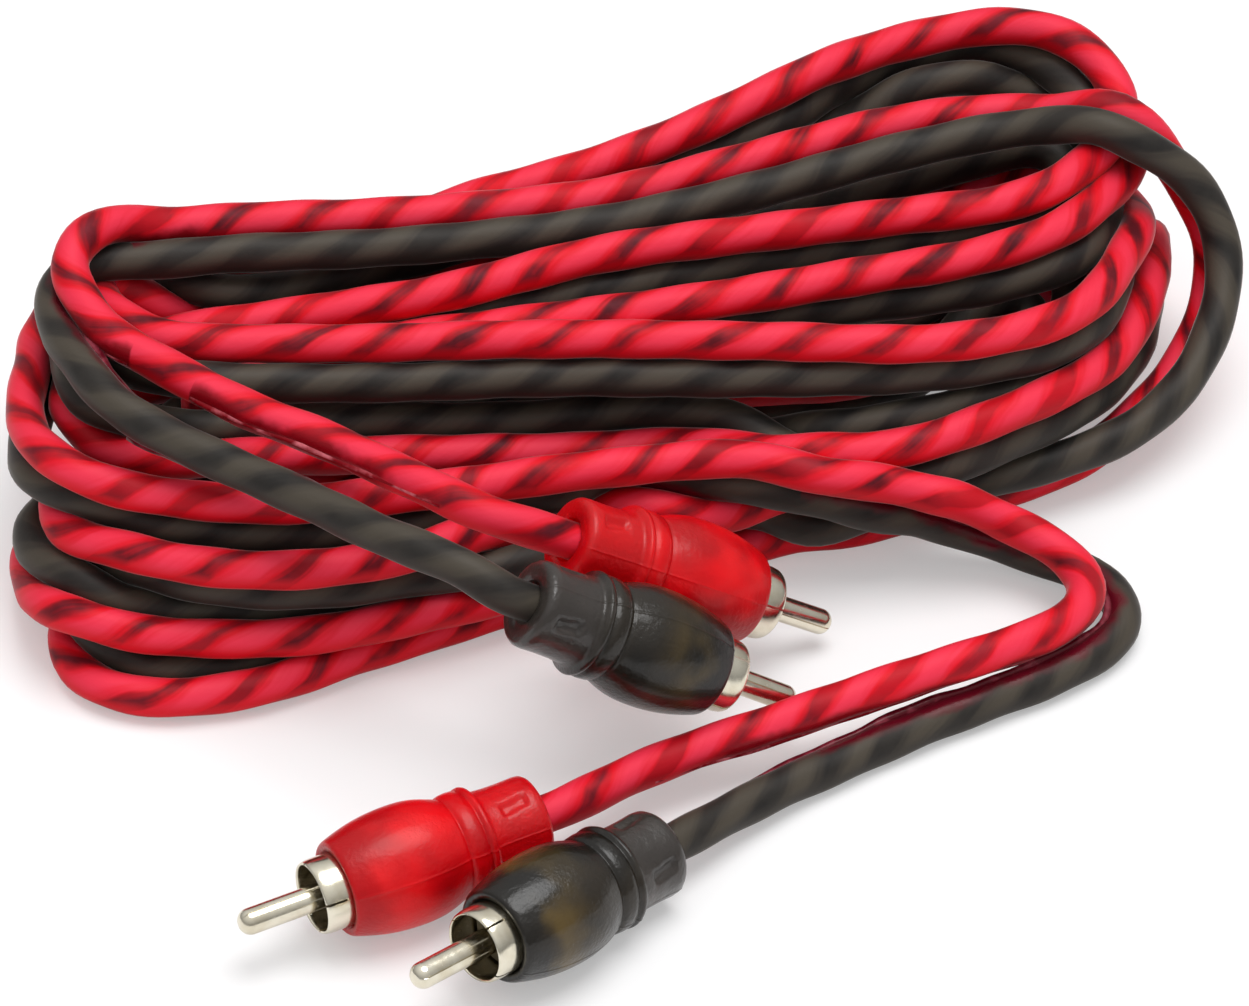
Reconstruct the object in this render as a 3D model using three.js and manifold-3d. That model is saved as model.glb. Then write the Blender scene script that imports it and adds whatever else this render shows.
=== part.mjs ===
// A two-channel interconnect: a red cord and a smoke cord moulded side by side, wound into a hank,
// with a moulded phono plug on each of the four ends.
// The origin is on the floor, below the middle of the plan. +X is right, +Y away, +Z up. Millimetres.
import * as THREE from 'three';
import { mergeVertices } from 'three/addons/utils/BufferGeometryUtils.js';
import Module from 'manifold-3d';

const wasm = await Module();
wasm.setup();

// The gap that is kept between two pieces that touch on the real cable.
const GAP = 0.3;

// How far a cutting shape reaches past the face that it cuts.
const CUT_MARGIN = 1;

// Cord: the jacket of one channel, and the wires inside it.
const CORD_DIAMETER = 4.8;
const CORD_SIDES = 10;
const CORD_STEPS = { upper_red: 15, upper_smoke: 14, front_red: 25, front_smoke: 25 };
const SIGNAL_WIRE_DIAMETER = 1.5;
const GROUND_WIRE_DIAMETER = 1.4;
const WIRE_SIDES = 10;

// Hank: the outer shape of the wound turns, a long outline with round ends and a top that leans
// towards the viewer.
const HANK_CENTRE = [0.5, 21.5];
const HANK_TURN = THREE.MathUtils.degToRad(20.9);
const HANK_LENGTH = 159.8;
const HANK_WIDTH = 56;
const HANK_WAIST = 14;
const HANK_HEIGHT = 27;
const HANK_TOP_SLOPE = 0.19;
const HANK_CURVE_POINTS = 14;

// Plug: lengths are measured from the overmould's front face, where it butts against a jack.
const PIN_DIAMETER = 3.2;
const PIN_LENGTH = 12.6;
const PIN_TIP_LENGTH = 1.3;
const PIN_TIP_FLAT = 1.4;
const PIN_SIDES = 16;
const COLLAR_DIAMETER = 9;
const COLLAR_WALL = 0.4;
const COLLAR_LENGTH = 3.2;
const COLLAR_DEPTH = 6;
const COLLAR_SLOTS = 4;
const SLOT_WIDTH = 0.5;
const SLOT_LENGTH = 2.6;
const INSULATOR_SETBACK = 0.6;
const INSULATOR_THICKNESS = 3.6;
const SOLDER_TAB_WIDTH = 2;
const SOLDER_TAB_THICKNESS = 0.4;
const SOLDER_TAB_REACH = 2.6;
const SOLDER_TAB_SINK = 0.1;
const CORE_DIAMETER = 9;
const CORE_LENGTH = 10;
const WIRE_BORE_DIAMETER = 2.2;
const GROUND_WIRE_OFFSET = 2.6;
const SHELL_LENGTH = 26.2;
const FACE_DIAMETER = 11.6;
const BARREL_DIAMETER = 14.6;
const BARREL_AT = 9.5;
const BARREL_LENGTH = 15;
const BARREL_BANDS = { front: 6, back: 4 };
const WAIST_DIAMETER = 12;
const RING_DIAMETER = 12.8;
const RING_LENGTH = 1.6;
const RING_EDGE = 0.3;
const GROOVE_DIAMETER = 11.8;
const GROOVE_LENGTH = 0.8;
const GROOVE_EDGE = 0.2;
const TAIL_DIAMETER = 10.6;
const TAIL_EDGE = 0.8;
const TAIL_RECESS = { count: 4, length: 3.2, width: 1.8, depth: 0.6, fromEnd: 2 };
const TAIL_STRAIGHT = 3;
const ROUND_SIDES = 24;

// Where each plug lies: the middle of its front face, the way that its pin points in plan, and how
// far its nose is lifted, both in degrees.
const PLUGS = {
  front_red: { face: [-33.5, -64.5, 7.4], heading: 208.5, lift: 0, colour: 0xe0182f },
  front_smoke: { face: [-15, -74, 8.7], heading: 223.5, lift: 6.5, colour: 0x4a4640 },
  upper_red: { face: [14.5, -14.9, 9.7], heading: 15.5, lift: -32.5, colour: 0xe0182f },
  upper_smoke: { face: [9.9, -31, 12.2], heading: 12, lift: -33.5, colour: 0x4a4640 },
};

// Cord routes, chosen by hand, from the place where each cord leaves the wound turns to its plug.
const ROUTES = {
  upper_red: [[-63.5, 9, 32.5], [-54, 1.5, 31.2], [-45, -4.5, 30.3], [-36.5, -9, 29.8], [-29, -14, 29.6],
    [-23, -18.5, 29.8], [-17, -22, 29.1]],
  upper_smoke: [[-62, -3, 31], [-53, -10, 29.8], [-44.5, -15.5, 29.4], [-36, -22, 30], [-29, -28, 30.8],
    [-24, -31.5, 31.2], [-19, -34.3, 30.8]],
  front_red: [[38.5, -0.5, 13.6], [42, -0.2, 11.9], [46, -0.2, 9.4], [50.5, -1.6, 7.8], [54, -4.4, 6.9],
    [56, -8.3, 6.4], [55.5, -12.8, 6.7], [52, -17.8, 7.3], [45, -22.4, 7.8], [38, -25.9, 8],
    [30.5, -29.2, 7.7], [23.5, -32, 7], [16, -35.8, 7], [9, -39, 6.8], [2, -43, 6.8]],
  front_smoke: [[38.5, 2, 7], [42, 2.2, 5.4], [46.5, 1.8, 4], [51.5, 0.5, 2.6], [56.5, -2, 2.4],
    [60, -6.5, 2.4], [60.5, -11.5, 2.4], [57.5, -16.5, 2.4], [51, -21.5, 2.4], [43, -26, 2.4],
    [35.5, -30.3, 2.4], [26, -36.5, 2.4], [18.5, -42, 3], [13, -47, 3.9]],
};

const finish = (color, roughness, metalness) =>
  new THREE.MeshStandardMaterial({ color, roughness, metalness });

const namedMesh = (name, geometry, material) => {
  const mesh = new THREE.Mesh(geometry, material);
  mesh.name = name;
  return mesh;
};

const toSolid = (geometry) => {
  const bare = geometry.clone();
  bare.deleteAttribute('normal');
  bare.deleteAttribute('uv');
  const merged = mergeVertices(bare, 1e-5);
  const vertProperties = new Float32Array(merged.attributes.position.array);
  const triVerts = new Uint32Array(merged.index.array);
  return new wasm.Manifold(new wasm.Mesh({ numProp: 3, vertProperties, triVerts }));
};

const toGeometry = (solid) => {
  const { vertProperties, triVerts } = solid.getMesh();
  const geometry = new THREE.BufferGeometry();
  geometry.setAttribute('position', new THREE.BufferAttribute(vertProperties, 3));
  geometry.setIndex(new THREE.BufferAttribute(triVerts, 1));
  return geometry;
};

// A turned piece along the plug's axis. Each station is a radius and a distance ahead of the front face,
// given anticlockwise in the half plane, so that the faces point out.
const turned = (stations, sides = ROUND_SIDES) => {
  const points = stations.map(([radius, ahead]) => new THREE.Vector2(radius, ahead));
  return new THREE.LatheGeometry(points, sides).rotateX(Math.PI / 2);
};

const rod = (radius, from, to, sides = WIRE_SIDES) =>
  turned([[0, from], [radius, from], [radius, to], [0, to]], sides);

const tube = (inner, outer, from, to, sides = ROUND_SIDES) =>
  turned([[inner, from], [outer, from], [outer, to], [inner, to], [inner, from]], sides);

// Overmould: a barrel with a ring and a groove behind it and a plain tail, bored for the parts it holds.
function overmould() {
  const barrelCurve = [];
  for (let i = 0; i <= BARREL_BANDS.front; i += 1) {
    const share = i / BARREL_BANDS.front;
    const rise = Math.sin(share * (Math.PI / 2));
    barrelCurve.push([(FACE_DIAMETER + (BARREL_DIAMETER - FACE_DIAMETER) * rise) / 2, -BARREL_AT * share]);
  }
  for (let i = 1; i <= BARREL_BANDS.back; i += 1) {
    const share = i / BARREL_BANDS.back;
    const fall = (1 - Math.cos(share * Math.PI)) / 2;
    const radius = (BARREL_DIAMETER + (WAIST_DIAMETER - BARREL_DIAMETER) * fall) / 2;
    barrelCurve.push([radius, -(BARREL_AT + (BARREL_LENGTH - BARREL_AT) * share)]);
  }
  const grooveEnd = BARREL_LENGTH + GROOVE_LENGTH;
  const ringEnd = grooveEnd + RING_LENGTH;
  const coreBore = CORE_DIAMETER / 2 + GAP;
  const coreEnd = COLLAR_DEPTH + 2 * GAP + CORE_LENGTH;
  const cordBore = CORD_DIAMETER / 2 + GAP;
  const outline = [
    ...barrelCurve,
    [GROOVE_DIAMETER / 2, -(BARREL_LENGTH + GROOVE_EDGE)],
    [GROOVE_DIAMETER / 2, -grooveEnd],
    [RING_DIAMETER / 2, -(grooveEnd + RING_EDGE)],
    [RING_DIAMETER / 2, -(ringEnd - RING_EDGE)],
    [TAIL_DIAMETER / 2 + RING_EDGE, -ringEnd],
    [TAIL_DIAMETER / 2, -(SHELL_LENGTH - TAIL_EDGE)],
    [TAIL_DIAMETER / 2 - TAIL_EDGE, -SHELL_LENGTH],
    [cordBore, -SHELL_LENGTH],
    [cordBore, -coreEnd],
    [coreBore, -coreEnd],
    [coreBore, 0],
    [FACE_DIAMETER / 2, 0],
  ];
  let solid = toSolid(turned(outline.reverse()));
  const { count, length, width, depth, fromEnd } = TAIL_RECESS;
  for (let i = 0; i < count; i += 1) {
    const recess = new THREE.BoxGeometry(width, 2 * depth, length);
    recess.translate(0, TAIL_DIAMETER / 2, -(SHELL_LENGTH - fromEnd - length / 2));
    recess.rotateZ(((2 * i + 1) * Math.PI) / count);
    solid = solid.subtract(toSolid(recess));
  }
  return toGeometry(solid);
}

// Ground collar: a nickel-plated sleeve with sprung leaves and a tab for the ground wire.
function collar() {
  const outer = COLLAR_DIAMETER / 2;
  const inner = outer - COLLAR_WALL;
  let solid = toSolid(tube(inner, outer, -COLLAR_DEPTH, COLLAR_LENGTH));
  for (let i = 0; i < COLLAR_SLOTS; i += 1) {
    const slot = new THREE.BoxGeometry(SLOT_WIDTH, COLLAR_WALL + CUT_MARGIN, SLOT_LENGTH + CUT_MARGIN);
    slot.translate(0, outer - COLLAR_WALL / 2, COLLAR_LENGTH + (CUT_MARGIN - SLOT_LENGTH) / 2);
    slot.rotateZ(((2 * i + 1) * Math.PI) / COLLAR_SLOTS);
    solid = solid.subtract(toSolid(slot));
  }
  const tab = new THREE.BoxGeometry(SOLDER_TAB_WIDTH, SOLDER_TAB_REACH, SOLDER_TAB_THICKNESS);
  const tabAt = -(inner + SOLDER_TAB_SINK - SOLDER_TAB_REACH / 2);
  tab.translate(0, tabAt, -COLLAR_DEPTH + SOLDER_TAB_THICKNESS / 2);
  return toGeometry(solid.add(toSolid(tab)));
}

// Insulator: the disc that holds the pin in the middle of the collar.
function insulator() {
  const outer = COLLAR_DIAMETER / 2 - COLLAR_WALL - GAP;
  const back = -INSULATOR_SETBACK - INSULATOR_THICKNESS;
  return tube(PIN_DIAMETER / 2 + GAP, outer, back, -INSULATOR_SETBACK);
}

// Centre pin: rolled from plated brass, with a rounded tip.
function pin() {
  const radius = PIN_DIAMETER / 2;
  const stations = [[0, -COLLAR_DEPTH], [radius, -COLLAR_DEPTH], [radius, PIN_LENGTH - PIN_TIP_LENGTH]];
  for (let i = 1; i <= 3; i += 1) {
    const turn = (i / 3) * (Math.PI / 2);
    const tip = PIN_TIP_FLAT / 2 + (radius - PIN_TIP_FLAT / 2) * Math.cos(turn);
    stations.push([tip, PIN_LENGTH - PIN_TIP_LENGTH * (1 - Math.sin(turn))]);
  }
  stations.push([0, PIN_LENGTH]);
  return turned(stations, PIN_SIDES);
}

// Core moulding: the first shot of plastic that holds the two wires behind the metal parts.
function coreMoulding() {
  const front = -COLLAR_DEPTH - GAP;
  const back = front - CORE_LENGTH;
  const bore = WIRE_BORE_DIAMETER / 2;
  const groundBore = rod(bore, back - CUT_MARGIN, front + CUT_MARGIN).translate(0, -GROUND_WIRE_OFFSET, 0);
  const solid = toSolid(rod(CORE_DIAMETER / 2, back, front, ROUND_SIDES));
  const bored = solid.subtract(toSolid(rod(bore, back - CUT_MARGIN, front + CUT_MARGIN)));
  return toGeometry(bored.subtract(toSolid(groundBore)));
}

const wire = (diameter, offset) => {
  const front = -COLLAR_DEPTH - GAP;
  return rod(diameter / 2, front - CORE_LENGTH, front).translate(0, offset, 0);
};

// One plug with the pieces it is made of. Its front face is at the group's origin and its pin is along +Z.
function plug(name, { face, heading, lift, colour }) {
  const group = new THREE.Group();
  const groundWire = wire(GROUND_WIRE_DIAMETER, -GROUND_WIRE_OFFSET);
  group.add(
    namedMesh(`${name}_overmould`, overmould(), finish(colour, 0.35, 0)),
    namedMesh(`${name}_ground_collar`, collar(), finish(0xd6d2c8, 0.22, 1)),
    namedMesh(`${name}_insulator`, insulator(), finish(0x57503a, 0.5, 0)),
    namedMesh(`${name}_centre_pin`, pin(), finish(0xd6d2c8, 0.2, 1)),
    namedMesh(`${name}_core_moulding`, coreMoulding(), finish(0xb89a58, 0.5, 0)),
    namedMesh(`${name}_signal_wire`, wire(SIGNAL_WIRE_DIAMETER, 0), finish(0xe8e4da, 0.5, 0)),
    namedMesh(`${name}_ground_wire`, groundWire, finish(0xb87333, 0.4, 1)),
  );
  group.quaternion.setFromUnitVectors(new THREE.Vector3(0, 0, 1), pinDirection(heading, lift));
  group.position.set(...face);
  return group;
}

function pinDirection(heading, lift) {
  const turn = THREE.MathUtils.degToRad(heading);
  const rise = THREE.MathUtils.degToRad(lift);
  return new THREE.Vector3(Math.cos(turn) * Math.cos(rise), Math.sin(turn) * Math.cos(rise), Math.sin(rise));
}

// The cord goes straight into the tail and stops just behind the core moulding.
function cordTube(name) {
  const { face, heading, lift } = PLUGS[name];
  const back = pinDirection(heading, lift).negate();
  const atFace = new THREE.Vector3(...face);
  const end = COLLAR_DEPTH + 3 * GAP + CORE_LENGTH;
  const inTail = [SHELL_LENGTH + TAIL_STRAIGHT, SHELL_LENGTH, (SHELL_LENGTH + end) / 2, end];
  const points = ROUTES[name].map((point) => new THREE.Vector3(...point));
  points.push(...inTail.map((distance) => atFace.clone().addScaledVector(back, distance)));
  const path = new THREE.CatmullRomCurve3(points, false, 'centripetal');
  const section = new THREE.Shape();
  for (let i = 0; i < CORD_SIDES; i += 1) {
    const turn = (i / CORD_SIDES) * 2 * Math.PI;
    const [x, y] = [Math.cos(turn), Math.sin(turn)].map((share) => (share * CORD_DIAMETER) / 2);
    if (i === 0) section.moveTo(x, y);
    else section.lineTo(x, y);
  }
  return new THREE.ExtrudeGeometry(section, {
    steps: CORD_STEPS[name], extrudePath: path, curveSegments: 1,
  });
}

// Hank: two round ends, a straight front and a back that is drawn in at the waist. Its top is a plane.
function hank() {
  const radius = HANK_WIDTH / 2;
  const half = HANK_LENGTH / 2 - radius;
  const outline = new THREE.Shape();
  outline.absarc(-half, 0, radius, Math.PI / 2, -Math.PI / 2, false);
  outline.absarc(half, 0, radius, -Math.PI / 2, Math.PI / 2, false);
  outline.quadraticCurveTo(0, radius - HANK_WAIST, -half, radius);
  const solid = new THREE.ExtrudeGeometry(outline, {
    depth: HANK_HEIGHT, bevelEnabled: false, curveSegments: HANK_CURVE_POINTS,
  });
  const position = solid.attributes.position;
  for (let i = 0; i < position.count; i += 1) {
    if (position.getZ(i) > 0) position.setZ(i, HANK_HEIGHT + HANK_TOP_SLOPE * position.getY(i));
  }
  return solid.rotateZ(HANK_TURN).translate(HANK_CENTRE[0], HANK_CENTRE[1], 0);
}

const cable = new THREE.Group();
cable.add(namedMesh('hank', hank(), finish(0x8a1c30, 0.5, 0)));
for (const [name, place] of Object.entries(PLUGS)) {
  cable.add(plug(name, place));
  cable.add(namedMesh(`${name}_cord`, cordTube(name), finish(place.colour, 0.45, 0)));
}

export default cable;
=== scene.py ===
import math

import bmesh
import bpy
import numpy as np
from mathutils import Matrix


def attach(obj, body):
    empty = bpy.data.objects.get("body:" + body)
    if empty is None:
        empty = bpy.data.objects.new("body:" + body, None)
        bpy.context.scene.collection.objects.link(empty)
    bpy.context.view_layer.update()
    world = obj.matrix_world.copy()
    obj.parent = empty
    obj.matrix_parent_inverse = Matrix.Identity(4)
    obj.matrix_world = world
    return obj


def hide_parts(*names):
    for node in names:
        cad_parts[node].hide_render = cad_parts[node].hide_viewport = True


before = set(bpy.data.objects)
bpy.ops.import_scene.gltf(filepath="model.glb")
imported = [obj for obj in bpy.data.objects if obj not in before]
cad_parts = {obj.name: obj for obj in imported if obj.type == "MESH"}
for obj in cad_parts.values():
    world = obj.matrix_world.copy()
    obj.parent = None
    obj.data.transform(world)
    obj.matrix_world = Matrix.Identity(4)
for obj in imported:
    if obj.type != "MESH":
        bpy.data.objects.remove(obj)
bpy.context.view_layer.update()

# The camera.
# A long lens, a metre from the cable and 40 degrees above it, looking along +Y.
LENS_PIXELS = 8200
SENSOR_WIDTH = 36
PICTURE_WIDTH, PICTURE_HEIGHT = 1249, 1006
CAMERA_RISE = math.radians(40)
CAMERA_REACH = 1.0
LOOKS_AT = np.array([0, 0, 0.012])
look = np.array([0, math.cos(CAMERA_RISE), -math.sin(CAMERA_RISE)])
look_up = np.array([0, math.sin(CAMERA_RISE), math.cos(CAMERA_RISE)])
eye = LOOKS_AT - look * CAMERA_REACH
camera_data = bpy.data.cameras.new("camera")
camera_data.sensor_width = SENSOR_WIDTH
camera_data.lens = SENSOR_WIDTH * LENS_PIXELS / PICTURE_WIDTH
camera_data.clip_start = 0.05
camera = bpy.data.objects.new("camera", camera_data)
camera.location = eye
camera.rotation_euler = (math.pi / 2 - CAMERA_RISE, 0, 0)
bpy.context.scene.collection.objects.link(camera)
bpy.context.scene.camera = camera


def place_on_picture(across, down, height):
    """The point at this height, in millimetres, that the picture shows at these pixels."""
    ray = look + (across - PICTURE_WIDTH / 2) / LENS_PIXELS * np.array([1.0, 0, 0])
    ray = ray + (PICTURE_HEIGHT / 2 - down) / LENS_PIXELS * look_up
    return eye + ray * (height / 1000 - eye[2]) / ray[2]


# The two cords.
# Each channel is a soft translucent jacket over a twisted pair, and the red and the smoke jacket come
# out of the extruder side by side, with a thin web between them. The pair is wound by hand into a hank.
CORD = 0.0048
SIDE_BY_SIDE = 0.0049
STEP = 0.0024
# The middle of each lead in millimetres, from the hank to just behind its plug.
LEADS = {
    "upper_red": [(-63.5, 9, 32.5), (-54, 1.5, 31.2), (-45, -4.5, 30.3), (-36.5, -9, 29.8),
                  (-29, -14, 29.6), (-23, -18.5, 29.8), (-17, -22, 29.1)],
    "upper_smoke": [(-62, -3, 31), (-53, -10, 29.8), (-44.5, -15.5, 29.4), (-36, -22, 30),
                    (-29, -28, 30.8), (-24, -31.5, 31.2), (-19, -34.3, 30.8)],
    "front_red": [(38.5, -0.5, 13.6), (42, -0.2, 11.9), (46, -0.2, 9.4), (50.5, -1.6, 7.8),
                  (54, -4.4, 6.9), (56, -8.3, 6.4), (55.5, -12.8, 6.7), (52, -17.8, 7.3),
                  (45, -22.4, 7.8), (38, -25.9, 8), (30.5, -29.2, 7.7), (23.5, -32, 7),
                  (16, -35.8, 7), (9, -39, 6.8), (2, -43, 6.8)],
    "front_smoke": [(38.5, 2, 7), (42, 2.2, 5.4), (46.5, 1.8, 4), (51.5, 0.5, 2.6),
                    (56.5, -2, 2.4), (60, -6.5, 2.4), (60.5, -11.5, 2.4), (57.5, -16.5, 2.4),
                    (51, -21.5, 2.4), (43, -26, 2.4), (35.5, -30.3, 2.4), (26, -36.5, 2.4),
                    (18.5, -42, 3), (13, -47, 3.9)],
}
# The middle of each plug's face in millimetres, and which way its pin points: heading and lift in degrees.
PLUGS = {
    "front_red": ((-33.5, -64.5, 7.4), 208.5, 0),
    "front_smoke": ((-15, -74, 8.7), 223.5, 6.5),
    "upper_red": ((14.5, -14.9, 9.7), 15.5, -32.5),
    "upper_smoke": ((9.9, -31, 12.2), 12, -33.5),
}
# How far behind the face the cord goes straight in the plug's tail.
IN_TAIL = (29.2, 26.2, 21.55, 16.9)


def pin_way(heading, lift):
    """The direction that a plug's pin points in."""
    turn, rise = math.radians(heading), math.radians(lift)
    return np.array([math.cos(turn) * math.cos(rise), math.sin(turn) * math.cos(rise), math.sin(rise)])


def lead(name):
    """The lead's points in metres, from the hank into the tail of its plug."""
    face, heading, lift = PLUGS[name]
    back = [np.array(face) - pin_way(heading, lift) * far for far in IN_TAIL]
    return np.vstack([LEADS[name], back]) / 1000


def along(points, spans):
    """A centripetal Catmull-Rom curve through the points, with so many steps in each span."""
    p = np.vstack([2 * points[0] - points[1], points, 2 * points[-1] - points[-2]])
    made = []
    for i, count in enumerate(spans):
        a, b, c, d = p[i:i + 4]
        ab, bc, cd = (max(np.linalg.norm(y - x) ** 0.5, 1e-4) for x, y in ((a, b), (b, c), (c, d)))
        leave = ((b - a) / ab - (c - a) / (ab + bc) + (c - b) / bc) * bc
        arrive = ((c - b) / bc - (d - b) / (bc + cd) + (d - c) / cd) * bc
        for k in range(count):
            t = k / count
            made.append((2 * t**3 - 3 * t**2 + 1) * b + (t**3 - 2 * t**2 + t) * leave
                        + (3 * t**2 - 2 * t**3) * c + (t**3 - t**2) * arrive)
    made.append(points[-1])
    return np.array(made)


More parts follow.
